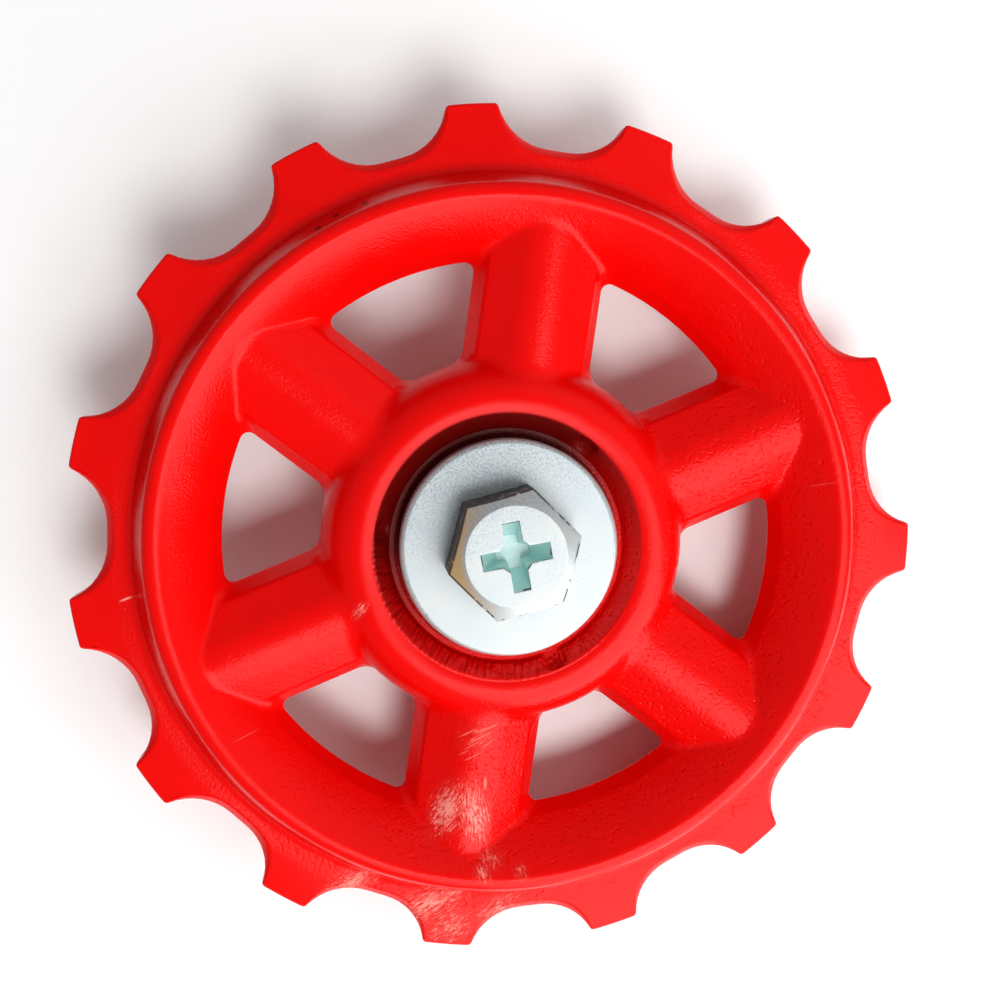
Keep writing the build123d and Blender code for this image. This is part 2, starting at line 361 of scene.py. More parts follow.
def hub_sector():
    """A third of the hub's inside, about one gate: mouth, dish, floor, bearing pocket and back mouth."""
    drop = HUB_CREST - MOUTH[1]
    run = HUB_CREST_RADIUS - MOUTH[0]
    bend = (run ** 2 + drop ** 2) / (2 * drop)
    brow = [(HUB_CREST_RADIUS - bend * sin(t), HUB_CREST - bend * (1 - cos(t)), 0)
            for t in np.linspace(0, asin(run / bend), 6)[:-1]]
    wall = [(MOUTH[0] + (DISH_FOOT[0] - MOUTH[0]) * t, MOUTH[1] + (DISH_FOOT[1] - MOUTH[1]) * t, 0)
            for t in np.linspace(0.18, 0.9, 9)]
    dish = brow + [(*MOUTH, MOUTH_ROUND)] + wall + [
        (*DISH_FOOT, POCKET_ROUND), (LEDGE_RADIUS, DISH_FOOT[1], SHARP_ROUND)]
    pocket = [(LEDGE_RADIUS, LIP_FACE, SHARP_ROUND), (LIP_RADIUS, LIP_FACE, LIP_ROUND),
              (LIP_RADIUS, BEARING_FACE, SHARP_ROUND), (POCKET_RADIUS, BEARING_FACE, SHARP_ROUND),
              (POCKET_RADIUS, POCKET_CHAMFER - LIP_FACE, POCKET_ROUND),
              (POCKET_RADIUS + POCKET_CHAMFER, -LIP_FACE, POCKET_ROUND), (LEDGE_RADIUS, -LIP_FACE, SHARP_ROUND)]
    corners = dish + pocket + [(r, -z, rounding) for r, z, rounding in reversed(dish)]
    profile = rounded(corners, 3)
    third = pi / GATES
    angles = np.linspace(-third, third, SECTOR_POINTS)
    grid = np.array([[(r * cos(t), r * sin(t), z) for t in angles] for r, z in profile])
    fall = np.array((DISH_FOOT[0] - MOUTH[0], DISH_FOOT[1] - MOUTH[1]))
    normal = np.array((fall[1], 0, -fall[0])) / np.hypot(*fall)
    middle = np.array(((MOUTH[0] + DISH_FOOT[0]) / 2, 0, (MOUTH[1] + DISH_FOOT[1]) / 2))
    offset = grid - (middle + normal * (GATE_RADIUS - GATE_DEPTH))
    # Inside the gate's ball the wall is pushed back to the ball, with the torn steps of a snapped sprue.
    along = -(offset @ normal)
    inside = along ** 2 + GATE_RADIUS ** 2 - (offset ** 2).sum(-1)
    push = np.maximum(0, np.sqrt(np.maximum(inside, 0)) - along)
    y, z = grid[..., 1], grid[..., 2]
    tear = 1 + 0.35 * np.sin(y * 9 + z * 5) * np.sin(z * 13 - y * 4)
    near = (inside > 0) & (z > DISH_FOOT[1] + 0.05) & (grid[..., 0] > 0) & (push < 2 * GATE_DEPTH)
    grid -= normal * (np.where(near, push, 0) * tear)[..., None]
    return sheet(grid, flip=True)


def around_tree(name, sectors):
    """A tree that turns each sector about the axle its own number of times and welds them into one skin."""
    tree = bpy.data.node_groups.new(name, "GeometryNodeTree")
    sockets = {}
    for label, kind in [(f"{s} {part}", kind) for s in sectors for part, kind in (
            ("Sector", "NodeSocketObject"), ("Count", "NodeSocketInt"), ("First Angle", "NodeSocketFloat"))]:
        sockets[label] = tree.interface.new_socket(label, in_out="INPUT", socket_type=kind).identifier
    for label, kind in (("Weld Distance", "NodeSocketFloat"), ("Material", "NodeSocketMaterial")):
        sockets[label] = tree.interface.new_socket(label, in_out="INPUT", socket_type=kind).identifier
    tree.interface.new_socket("Geometry", in_out="OUTPUT", socket_type="NodeSocketGeometry")
    source = tree.nodes.new("NodeGroupInput")
    skin = tree.nodes.new("GeometryNodeJoinGeometry")
    for s in sectors:
        shape = put(tree, "GeometryNodeObjectInfo", {"Object": source.outputs[f"{s} Sector"]}, "Geometry")
        count = source.outputs[f"{s} Count"]
        step = put(tree, "ShaderNodeMath", {0: 2 * pi, 1: count}, operation="DIVIDE")
        angle = put(tree, "ShaderNodeMath", {0: put(tree, "GeometryNodeInputIndex"), 1: step,
                                             2: source.outputs[f"{s} First Angle"]}, operation="MULTIPLY_ADD")
        turn = put(tree, "ShaderNodeCombineXYZ", {"Z": angle})
        copies = put(tree, "GeometryNodeInstanceOnPoints", {
            "Points": put(tree, "GeometryNodePoints", {"Count": count}), "Instance": shape, "Rotation": turn})
        tree.links.new(copies, skin.inputs[0])
    whole = put(tree, "GeometryNodeRealizeInstances", {"Geometry": skin.outputs[0]})
    whole = put(tree, "GeometryNodeMergeByDistance", {
        "Geometry": whole, "Distance": source.outputs["Weld Distance"]})
    whole = put(tree, "GeometryNodeSetShadeSmooth", {"Geometry": whole})
    whole = put(tree, "GeometryNodeSetMaterial", {"Geometry": whole, "Material": source.outputs["Material"]})
    put(tree, "NodeGroupOutput", {0: whole})
    return tree, sockets


def thread_tree(name):
    """A tree that makes a bolt's thread: a rod whose skin follows a helix and fades out at the chamfer."""
    tree = bpy.data.node_groups.new(name, "GeometryNodeTree")
    sockets = {}
    for label in ("Start", "End", "Radius", "Pitch", "Depth", "Chamfer"):
        sockets[label] = tree.interface.new_socket(
            label, in_out="INPUT", socket_type="NodeSocketFloat").identifier
    sockets["Material"] = tree.interface.new_socket(
        "Material", in_out="INPUT", socket_type="NodeSocketMaterial").identifier
    tree.interface.new_socket("Geometry", in_out="OUTPUT", socket_type="NodeSocketGeometry")
    source = tree.nodes.new("NodeGroupInput").outputs
    line = put(tree, "GeometryNodeCurvePrimitiveLine", {
        "Start": put(tree, "ShaderNodeCombineXYZ", {"Z": source["Start"]}),
        "End": put(tree, "ShaderNodeCombineXYZ", {"Z": source["End"]})})
    line = put(tree, "GeometryNodeResampleCurve", {"Curve": line, "Count": THREAD_ROWS})
    ring = put(tree, "GeometryNodeCurvePrimitiveCircle", {"Resolution": THREAD_SIDES, "Radius": source["Radius"]})
    rod = put(tree, "GeometryNodeCurveToMesh", {"Curve": line, "Profile Curve": ring, "Fill Caps": True})
    place = put(tree, "GeometryNodeInputPosition")
    x, y, z = (put(tree, "ShaderNodeSeparateXYZ", {0: place}, axis) for axis in "XYZ")
    angle = put(tree, "ShaderNodeMath", {0: y, 1: x}, operation="ARCTAN2")
    turns = put(tree, "ShaderNodeMath", {0: angle, 1: 2 * pi}, operation="DIVIDE")
    rise = put(tree, "ShaderNodeMath", {0: z, 1: source["Pitch"]}, operation="DIVIDE")
    phase = put(tree, "ShaderNodeMath", {0: rise, 1: turns}, operation="SUBTRACT")
    ramp = put(tree, "ShaderNodeMath", {0: phase, 1: 0.5}, operation="PINGPONG")
    # A sixth of each turn stays as the flat crest of the thread.
    groove = put(tree, "ShaderNodeMapRange", {"Value": ramp, 1: 0.08, 2: 0.44, 3: 0.0, 4: source["Depth"]})
    tail = put(tree, "ShaderNodeMath", {0: z, 1: source["End"]}, operation="SUBTRACT")
    point = put(tree, "ShaderNodeMapRange", {"Value": tail, 1: 0.0, 2: source["Chamfer"],
                                             3: source["Chamfer"], 4: 0.0})
    deepest = put(tree, "ShaderNodeMath", {0: groove, 1: point}, operation="MAXIMUM")
    kept = put(tree, "ShaderNodeMath", {0: source["Radius"], 1: deepest}, operation="SUBTRACT")
    share = put(tree, "ShaderNodeMath", {0: kept, 1: source["Radius"]}, operation="DIVIDE")
    moved = put(tree, "ShaderNodeCombineXYZ", {
        "X": put(tree, "ShaderNodeMath", {0: x, 1: share}, operation="MULTIPLY"),
        "Y": put(tree, "ShaderNodeMath", {0: y, 1: share}, operation="MULTIPLY"), "Z": z})
    rod = put(tree, "GeometryNodeSetPosition", {"Geometry": rod, "Position": moved})
    rod = put(tree, "GeometryNodeRealizeInstances", {"Geometry": rod})
    rod = put(tree, "GeometryNodeSetMaterial", {"Geometry": rod, "Material": source["Material"]})
    put(tree, "NodeGroupOutput", {0: rod})
    return tree, sockets


def bolt_with_thread(solid, thread):
    """The bolt's solid with its edges broken, and a cut thread in place of its plain end."""
    form = bmesh.new()
    form.from_mesh(solid)
    bmesh.ops.remove_doubles(form, verts=form.verts, dist=MERGE * MM)
    plain = [f for f in form.faces if max(v.co.z for v in f.verts) < (THREAD_START + 0.01) * MM]
    bmesh.ops.delete(form, geom=plain, context="FACES")
    bmesh.ops.holes_fill(form, edges=[e for e in form.edges if e.is_boundary], sides=0)
    bmesh.ops.dissolve_limit(form, angle_limit=radians(1), verts=form.verts[:], edges=form.edges[:])
    edges = [e for e in form.edges if e.is_manifold and e.calc_face_angle() > radians(24)
             and min(v.co.z for v in e.verts) > (HEAD_SEAT - 0.01) * MM]
    bmesh.ops.bevel(form, geom=edges, offset=HEAD_EDGE * MM, segments=2, profile=0.5, affect="EDGES",
                    clamp_overlap=True)
    form.from_mesh(thread)
    bmesh.ops.triangulate(form, faces=[f for f in form.faces if len(f.verts) > 4])
    made = bpy.data.meshes.new("axle_bolt_threaded")
    form.to_mesh(made)
    form.free()
    return made


def area_normals(mesh, limit):
    """Normals weighted by the faces' areas, so that flats stay flat beside their rounded edges."""
    faces = [[] for _ in mesh.vertices]
    for face in mesh.polygons:
        for v in face.vertices:
            faces[v].append((face.normal.copy(), face.area))
    normals = []
    for face in mesh.polygons:
        for v in face.vertices:
            total = Vector((0, 0, 0))
            for normal, area in faces[v]:
                if normal.dot(face.normal) > limit:
                    total += normal * area
            normals.append(total.normalized())
    mesh.normals_split_custom_set(normals)


def plain_mesh(name, tree, sockets, values):
    """What a tree makes from its inputs, as an object with a plain mesh."""
    holder = bpy.data.objects.new(name, bpy.data.meshes.new(name))
    bpy.context.scene.collection.objects.link(holder)
    modifier = holder.modifiers.new(name, "NODES")
    modifier.node_group = tree
    for label, value in values.items():
        modifier[sockets[label]] = value
    made = bpy.data.meshes.new_from_object(holder.evaluated_get(bpy.context.evaluated_depsgraph_get()))
    holder.modifiers.remove(modifier)
    holder.data = made
    return holder


def material(name):
    """A material with an empty tree, its shader and the object's own place in millimetres."""
    made = bpy.data.materials.new(name)
    made.use_nodes = True
    tree = made.node_tree
    tree.nodes.clear()
    shader = tree.nodes.new("ShaderNodeBsdfPrincipled")
    put(tree, "ShaderNodeOutputMaterial", {"Surface": shader.outputs[0]})
    place = put(tree, "ShaderNodeTexCoord", out="Object")
    place = put(tree, "ShaderNodeVectorMath", {0: place, "Scale": 1 / MM}, operation="SCALE")
    return made, tree, shader, place


# Where the wheel is marked: place (x, y, z), half length and half width in millimetres. The long side is
# turned from +X by so many degrees.
SCUFFS = {  # rubbed by a chain that came off: the turn of the streaks, then the patches and how far each is rubbed
    62: [((-1.75, -18.75, 2.9), 2.7, 1.9, 1.0), ((-9.3, -5.4, 4.1), 1.1, 0.5, 0.7)],
    108: [((0.2, -18.6, 3.0), 3.4, 1.5, 0.95), ((1.75, -21.3, 3.7), 1.5, 1.3, 0.6),
          ((1.35, -22.5, 4.2), 0.9, 0.9, 0.7), ((3.95, -22.2, 4.2), 0.8, 0.7, 0.5)],
    40: [((-1.6, -26.2, 1.3), 4.2, 2.0, 0.7), ((-7.3, -25.1, 1.3), 3.6, 1.3, 0.75),
         ((3.2, -26.1, 1.3), 2.6, 1.2, 0.6), ((0.1, -27.9, 1.05), 2.5, 2.0, 0.6),
         ((-0.1, -13.3, 3.3), 2.2, 1.7, 0.3)],
}
SCRATCHES = [  # single pale lines, with turn and strength: scrapes, a nick, a fleck and the mould's knit lines
    ((-0.9, -13.1, 3.3), 0.9, 0.06, 36, 0.5),
    ((-0.1, -13.35, 3.3), 1.2, 0.06, 33, 0.55),
    ((-0.5, -13.9, 3.3), 0.8, 0.05, 38, 0.45),
    ((0.45, -12.6, 3.3), 0.9, 0.06, 30, 0.5),
    ((0.0, -12.75, 3.3), 0.7, 0.05, 27, 0.45),
    ((0.55, -13.7, 3.3), 0.7, 0.05, 40, 0.4),
    ((-0.4, -14.7, 3.3), 0.8, 0.05, 34, 0.4),
    ((-1.0, -14.5, 3.3), 0.5, 0.05, 39, 0.35),
    ((-24.64, -6.86, 1.3), 0.55, 0.1, 29, 1.0),
    # Painted highlight: a pale fleck along the lower spoke's crown, where its gloss catches the light.
    ((0.75, -16.5, 3.3), 0.58, 0.13, 97, 0.6),
    ((21.4, 7.05, 3.4), 1.9, 0.04, 22, 0.2),
    ((-15.7, -14.8, 3.1), 1.5, 0.04, 23, 0.2),
]
SPECKS = [(-15.03, 18.9, 3.35), (-14.0, 19.92, 2.84), (-12.24, 20.95, 3.07)]  # grit on the ridge's outer side
STREAK = 0.11

# Widths and heights of what is too small for the mesh. The real grain and crystals are finer than the picture
# shows, and are drawn as coarse as they need to be seen.
GRAIN, GRAIN_HEIGHT = 0.16, 0.036
PIT, PIT_DEPTH = 0.3, 0.034
SWELL, SWELL_HEIGHT = 2.4, 0.02
RIB, RIB_HEIGHT, RIB_RADIUS = 0.27, 0.2, 8.5
CRYSTAL, CRYSTAL_HEIGHT = 0.1, 0.013
COARSE_CRYSTAL = 0.14


def patch(tree, place, spot, half_length, half_width, turn, sharp, most):
    """A soft-edged oval about a spot: most in its middle, 0 outside."""
    near = put(tree, "ShaderNodeMapping", {
        "Vector": place, "Location": spot, "Rotation": (0, 0, radians(turn)),
        "Scale": (half_length, half_width, 1.3)}, vector_type="TEXTURE")
    away = put(tree, "ShaderNodeVectorMath", {0: near}, "Value", operation="LENGTH")
    return put(tree, "ShaderNodeMapRange", {"Value": away, 1: 1.0, 2: sharp, 3: 0.0, 4: most})


def most_of(tree, covers):
    """The greatest of several covers."""
    whole = covers[0]
    for cover in covers[1:]:
        whole = put(tree, "ShaderNodeMath", {0: whole, 1: cover}, operation="MAXIMUM")
    return whole


def moulded_red():
    """Polyamide dyed red right through: satin gloss, with the fine grain of a spark-eroded mould. A chain has
    rubbed the lower spoke and rim pale and matt; a pale fleck on the lower spoke's crown is a painted highlight,
    and painted shade darkens the hub's mouths."""
    made, tree, shader, place = material("moulded_red_polyamide")
    flat = put(tree, "ShaderNodeVectorMath", {0: place, 1: (1, 1, 0)}, operation="MULTIPLY")
    radius = put(tree, "ShaderNodeVectorMath", {0: flat}, "Value", operation="LENGTH")
    x, y, z = (put(tree, "ShaderNodeSeparateXYZ", {0: place}, axis) for axis in "XYZ")
    level = put(tree, "ShaderNodeMath", {0: z}, operation="ABSOLUTE")
    # The teeth, the window walls and the crests were polished in the mould; the rest has the eroded skin.
    teeth = put(tree, "ShaderNodeMapRange", {"Value": radius, 1: 26.9, 2: 26.2, 3: 0.12, 4: 1.0})
    walls = put(tree, "ShaderNodeMapRange", {"Value": level, 1: 0.95, 2: 1.28, 3: 0.12, 4: 1.0})
    ridge = put(tree, "ShaderNodeMapRange", {"Value": level, 1: 4.05, 2: 3.7, 3: 0.25, 4: 1.0})
    skin = put(tree, "ShaderNodeMath", {0: teeth, 1: walls}, operation="MULTIPLY")
    skin = put(tree, "ShaderNodeMath", {0: skin, 1: ridge}, operation="MULTIPLY")
    swell = put(tree, "ShaderNodeTexNoise", {"Vector": place, "Scale": 1 / SWELL, "Detail": 0.0})
    patchy = put(tree, "ShaderNodeMapRange", {"Value": swell, 1: 0.3, 2: 0.7, 3: 0.55, 4: 1.0})
    skin = put(tree, "ShaderNodeMath", {0: skin, 1: patchy}, operation="MULTIPLY")
    # The mould's grain, pits on the side that its runner fed last, and waves where the plastic shrank.
    grain = put(tree, "ShaderNodeTexNoise", {"Vector": place, "Scale": 1 / GRAIN, "Detail": 1.0})
    pits = put(tree, "ShaderNodeTexNoise", {"Vector": place, "Scale": 1 / PIT, "Detail": 0.0})
    pits = put(tree, "ShaderNodeMapRange", {"Value": pits, 1: 0.26, 2: 0.4, 3: -PIT_DEPTH, 4: 0.0})
    fed = put(tree, "ShaderNodeVectorMath", {0: flat, 1: (0.85, -0.5, 0)}, "Value", operation="DOT_PRODUCT")
    fed = put(tree, "ShaderNodeMapRange", {"Value": fed, 1: -4.0, 2: 8.0, 3: 0.0, 4: 1.0})
    pits = put(tree, "ShaderNodeMath", {0: pits, 1: fed}, operation="MULTIPLY")
    grain = put(tree, "ShaderNodeMath", {0: grain, 1: GRAIN_HEIGHT, 2: pits}, operation="MULTIPLY_ADD")
    grain = put(tree, "ShaderNodeMath", {0: grain, 1: skin}, operation="MULTIPLY")
    height = put(tree, "ShaderNodeMath", {0: swell, 1: SWELL_HEIGHT, 2: grain}, operation="MULTIPLY_ADD")
    # Uneven radial marks that the mould left on the dish's wall, most on the lower side.
    inside = put(tree, "ShaderNodeMapRange", {"Value": radius, 1: 9.15, 2: 8.9, 3: 0.0, 4: 1.0})
    angle = put(tree, "ShaderNodeMath", {0: y, 1: x}, operation="ARCTAN2")
    spread = put(tree, "ShaderNodeMath", {0: angle, 1: RIB_RADIUS / RIB}, operation="MULTIPLY")
    ribs = put(tree, "ShaderNodeTexNoise", {
        "Vector": put(tree, "ShaderNodeCombineXYZ", {"X": spread, "Y": level}), "Scale": 1.0, "Detail": 0.0})
    low = put(tree, "ShaderNodeVectorMath", {0: flat, 1: (-0.3, -0.95, 0)}, "Value", operation="DOT_PRODUCT")
    low = put(tree, "ShaderNodeMapRange", {"Value": low, 1: 0.5, 2: 5.0, 3: 0.15, 4: 1.0})
    wall = put(tree, "ShaderNodeMapRange", {"Value": level, 1: 2.85, 2: 3.05, 3: 0.0, 4: RIB_HEIGHT})
    wall = put(tree, "ShaderNodeMath", {0: wall, 1: low}, operation="MULTIPLY")
    ribs = put(tree, "ShaderNodeMath", {0: ribs, 1: inside}, operation="MULTIPLY")
    height = put(tree, "ShaderNodeMath", {0: ribs, 1: wall, 2: height}, operation="MULTIPLY_ADD")
    bump = put(tree, "ShaderNodeBump", {"Strength": 1.0, "Distance": MM, "Height": height})
    covers, gouges = [], []
    for turn, patches in SCUFFS.items():
        along = put(tree, "ShaderNodeMapping", {
            "Vector": place, "Rotation": (0, 0, radians(turn)),
            "Scale": (5 * STREAK, STREAK, 5 * STREAK)}, vector_type="TEXTURE")
        streaks = put(tree, "ShaderNodeTexNoise", {"Vector": along, "Scale": 1.0, "Detail": 3.0, "Roughness": 0.75})
        rubbed = most_of(tree, [patch(tree, place, *oval, turn, 0.0, most) for *oval, most in patches])
        within = put(tree, "ShaderNodeMapRange", {"Value": rubbed, 1: 0.0, 2: 0.25, 3: 0.0, 4: 1.0})
        # Near its middle a patch is pale but for the deepest streaks; its edge is ragged, under a thin haze.
        ragged = put(tree, "ShaderNodeMath", {0: streaks, 1: 2.8, 2: rubbed}, operation="MULTIPLY_ADD")
        pale = put(tree, "ShaderNodeMapRange", {"Value": ragged, 1: 1.8, 2: 2.25, 3: 0.0, 4: 1.0})
        covers.append(put(tree, "ShaderNodeMath", {0: pale, 1: within}, operation="MULTIPLY"))
        covers.append(put(tree, "ShaderNodeMath", {0: rubbed, 1: 0.13}, operation="MULTIPLY"))
        deep = put(tree, "ShaderNodeMapRange", {"Value": streaks, 1: 0.44, 2: 0.36, 3: 0.0, 4: 0.7})
        gouges.append(put(tree, "ShaderNodeMath", {0: deep, 1: within}, operation="MULTIPLY"))
    # The pale marks are wear, except for one painted highlight among the scratches.
    wear_and_glint = most_of(tree, covers + [
        patch(tree, place, spot, length, width, turn, 0.4, most) for spot, length, width, turn, most in SCRATCHES])
    tone = put(tree, "ShaderNodeMix", {0: swell, 6: colour("#E60301"), 7: colour("#EF0402")},
               "Result", data_type="RGBA")
    # Painted shade: the dish's walls inside the mouths are darkened, most on the upper-left side.
    toward_upper_left = put(tree, "ShaderNodeVectorMath", {0: flat, 1: (-0.6, 0.8, 0)}, "Value", operation="DOT_PRODUCT")
    shade_strength = put(tree, "ShaderNodeMapRange", {"Value": toward_upper_left, 1: -6.0, 2: 4.0, 3: 0.12, 4: 0.95})
    painted_dish_shade = put(tree, "ShaderNodeMath", {0: inside, 1: shade_strength}, operation="MULTIPLY")
    tone = put(tree, "ShaderNodeMix", {0: painted_dish_shade, 6: tone, 7: colour("#4A0503")}, "Result", data_type="RGBA")
    pale = put(tree, "ShaderNodeMath", {0: wear_and_glint, 1: 0.7}, operation="MULTIPLY")
    tone = put(tree, "ShaderNodeMix", {0: pale, 6: tone, 7: colour("#FFB2A3")}, "Result", data_type="RGBA")
    tone = put(tree, "ShaderNodeMix", {0: most_of(tree, gouges), 6: tone, 7: colour("#A80502")},
               "Result", data_type="RGBA")
    grit = most_of(tree, [patch(tree, place, spot, 0.28, 0.2, 40, 0.5, 0.85) for spot in SPECKS])
    tone = put(tree, "ShaderNodeMix", {0: grit, 6: tone, 7: colour("#5A0806")}, "Result", data_type="RGBA")
    rough = put(tree, "ShaderNodeMapRange", {"Value": wear_and_glint, 1: 0.0, 2: 1.0, 3: 0.24, 4: 0.6})
    tree.links.new(tone, shader.inputs["Base Color"])
    tree.links.new(rough, shader.inputs["Roughness"])
    tree.links.new(bump, shader.inputs["Normal"])
    shader.inputs["IOR"].default_value = 1.53
    shader.inputs["Specular IOR Level"].default_value = 0.23
    return made


def zinc_plate(name, head=False):
    """Bright zinc on steel under a thin clear passivation: pale grey with a blue cast and a fine grain, with painted
    shade as blue-grey crystals on the upper-left side. On the bolt's head the cross recess is pale blue-green,
    partly pooled passivation and partly painted reflection of the sky; a painted reflection turns the chamfer straw
    on one side, painted shade darkens the flats, and dark lines along the edges are partly torn plating and partly
    painted shade."""
    made, tree, shader, place = material(name)
    cloud = put(tree, "ShaderNodeTexNoise", {"Vector": place, "Scale": 1 / 2.5, "Detail": 2.0})
    tint = put(tree, "ShaderNodeMix", {0: cloud, 6: colour("#DCE8F0"), 7: colour("#EEF0EA")},
               "Result", data_type="RGBA")
    flat = put(tree, "ShaderNodeVectorMath", {0: place, 1: (1, 1, 0)}, operation="MULTIPLY")
    # Coarser crystals show blue-grey on one side of each piece, the upper-left: a real grain, shown there only as
    # painted shade.
    coarse = put(tree, "ShaderNodeTexNoise", {"Vector": place, "Scale": 1 / COARSE_CRYSTAL, "Detail": 1.0})
    coarse = put(tree, "ShaderNodeMapRange", {"Value": coarse, 1: 0.42, 2: 0.68, 3: 0.0, 4: 0.62})
    toward_upper_left = put(tree, "ShaderNodeVectorMath", {0: flat, 1: (-0.5, 0.86, 0)}, "Value", operation="DOT_PRODUCT")
    toward_upper_left = put(tree, "ShaderNodeMapRange", {"Value": toward_upper_left, 1: 0.0, 2: 5.5, 3: 0.05, 4: 1.0})
    coarse = put(tree, "ShaderNodeMath", {0: coarse, 1: toward_upper_left}, operation="MULTIPLY")
    tint = put(tree, "ShaderNodeMix", {0: coarse, 6: tint, 7: colour("#93A9B8")}, "Result", data_type="RGBA")
    if head:
        radius = put(tree, "ShaderNodeVectorMath", {0: flat}, "Value", operation="LENGTH")
        z = put(tree, "ShaderNodeSeparateXYZ", {0: place}, "Z")
        # The cross recess is tinted pale blue-green: partly passivation pooled there, partly painted reflection of
        # the sky in it.
        sunk = put(tree, "ShaderNodeMapRange", {"Value": z, 1: HEAD_TOP - 0.02, 2: HEAD_TOP - 0.25, 3: 0.0, 4: 1.0})
        inner = put(tree, "ShaderNodeMapRange", {"Value": radius, 1: 2.5, 2: 2.35, 3: 0.0, 4: 1.0})
        inside = put(tree, "ShaderNodeMapRange", {"Value": z, 1: HEAD_SEAT, 2: HEAD_SEAT + 0.3, 3: 0.0, 4: 1.0})
        recess = put(tree, "ShaderNodeMath", {0: sunk, 1: inner}, operation="MULTIPLY")
        recess = put(tree, "ShaderNodeMath", {0: recess, 1: inside}, operation="MULTIPLY")
        tint = put(tree, "ShaderNodeMix", {0: recess, 6: tint, 7: colour("#DDF9F6")}, "Result", data_type="RGBA")
        # Painted reflection: the upper chamfer on the head's left side is tinted straw-brown for the red hub and dim
        # room it reflects.
        shoulder = put(tree, "ShaderNodeMapRange", {"Value": radius, 1: 3.3, 2: 3.6, 3: 0.0, 4: 1.0})
        upper = put(tree, "ShaderNodeMapRange", {"Value": z, 1: HEAD_TOP - 1.3, 2: HEAD_TOP - 0.7, 3: 0.0, 4: 1.0})
        straw = put(tree, "ShaderNodeMath", {0: shoulder, 1: upper}, operation="MULTIPLY")
        west = put(tree, "ShaderNodeVectorMath", {0: flat, 1: (-1, -0.25, 0)}, "Value", operation="DOT_PRODUCT")
        west = put(tree, "ShaderNodeMapRange", {"Value": west, 1: 1.5, 2: 4.0, 3: 0.0, 4: 0.9})
        straw = put(tree, "ShaderNodeMath", {0: straw, 1: west}, operation="MULTIPLY")
        tint = put(tree, "ShaderNodeMix", {0: straw, 6: tint, 7: colour("#FFD592")}, "Result", data_type="RGBA")
        # Painted shade: the hexagon's flats are darkened.
        outer = put(tree, "ShaderNodeMapRange", {"Value": radius, 1: 3.6, 2: 3.75, 3: 0.0, 4: 1.0})
        flats = put(tree, "ShaderNodeMapRange", {"Value": z, 1: HEAD_TOP - 0.75, 2: HEAD_TOP - 0.95, 3: 0.0, 4: 0.7})
        shaded_flats = put(tree, "ShaderNodeMath", {0: outer, 1: flats}, operation="MULTIPLY")
        tint = put(tree, "ShaderNodeMix", {0: shaded_flats, 6: tint, 7: colour("#5E5A4C")}, "Result", data_type="RGBA")
        # Dark lines run along the hexagon's edge and the recess's lip: partly where a tool tore the plating, partly
        # painted shade, heavier on the upper-left side away from the light.
        ways = [radians(HEAD_TURN + 30 + 60 * k) for k in range(3)]
        sides = [put(tree, "ShaderNodeVectorMath", {0: flat, 1: (cos(way), sin(way), 0)}, "Value",
                     operation="DOT_PRODUCT") for way in ways]
        edge = most_of(tree, [put(tree, "ShaderNodeMath", {0: side}, operation="ABSOLUTE") for side in sides])
        edge = put(tree, "ShaderNodeMapRange", {
            "Value": edge, 1: HEAD_HALF - 0.16, 2: HEAD_HALF - 0.07, 3: 0.0, 4: 1.0})
        lip = put(tree, "ShaderNodeMapRange", {"Value": z, 1: HEAD_TOP - 0.24, 2: HEAD_TOP - 0.14, 3: 0.0, 4: 1.0})
        lip = put(tree, "ShaderNodeMath", {0: lip, 1: inner}, operation="MULTIPLY")
        below = put(tree, "ShaderNodeMapRange", {
            "Value": z, 1: HEAD_TOP - 0.02, 2: HEAD_TOP - 0.06, 3: 0.0, 4: 1.0})
        lip = put(tree, "ShaderNodeMath", {0: lip, 1: below}, operation="MULTIPLY")
        torn = put(tree, "ShaderNodeTexNoise", {"Vector": place, "Scale": 1 / 0.7, "Detail": 3.0})
        shaded_side = put(tree, "ShaderNodeVectorMath", {0: flat, 1: (-0.8, 0.6, 0)}, "Value", operation="DOT_PRODUCT")
        shaded_side = put(tree, "ShaderNodeMapRange", {"Value": shaded_side, 1: -1.5, 2: 3.0, 3: 0.0, 4: 0.14})
        torn = put(tree, "ShaderNodeMath", {0: torn, 1: shaded_side}, operation="ADD")
        torn = put(tree, "ShaderNodeMapRange", {"Value": torn, 1: 0.49, 2: 0.55, 3: 0.0, 4: 0.88})
        torn = put(tree, "ShaderNodeMath", {0: most_of(tree, [edge, lip]), 1: torn}, operation="MULTIPLY")
        tint = put(tree, "ShaderNodeMix", {0: torn, 6: tint, 7: colour("#2A251F")}, "Result", data_type="RGBA")
    grain = put(tree, "ShaderNodeTexNoise", {"Vector": place, "Scale": 1 / CRYSTAL, "Detail": 1.0})
    height = put(tree, "ShaderNodeMath", {0: grain, 1: CRYSTAL_HEIGHT}, operation="MULTIPLY")
    bump = put(tree, "ShaderNodeBump", {"Strength": 1.0, "Distance": MM, "Height": height})
    rough = put(tree, "ShaderNodeMapRange", {"Value": grain, 1: 0.3, 2: 0.7, 3: 0.38, 4: 0.54})
    tree.links.new(tint, shader.inputs["Base Color"])
    tree.links.new(rough, shader.inputs["Roughness"])
    tree.links.new(bump, shader.inputs["Normal"])
    # The passivation's film scatters a part of the light.
    shader.inputs["Metallic"].default_value = 0.75
    return made


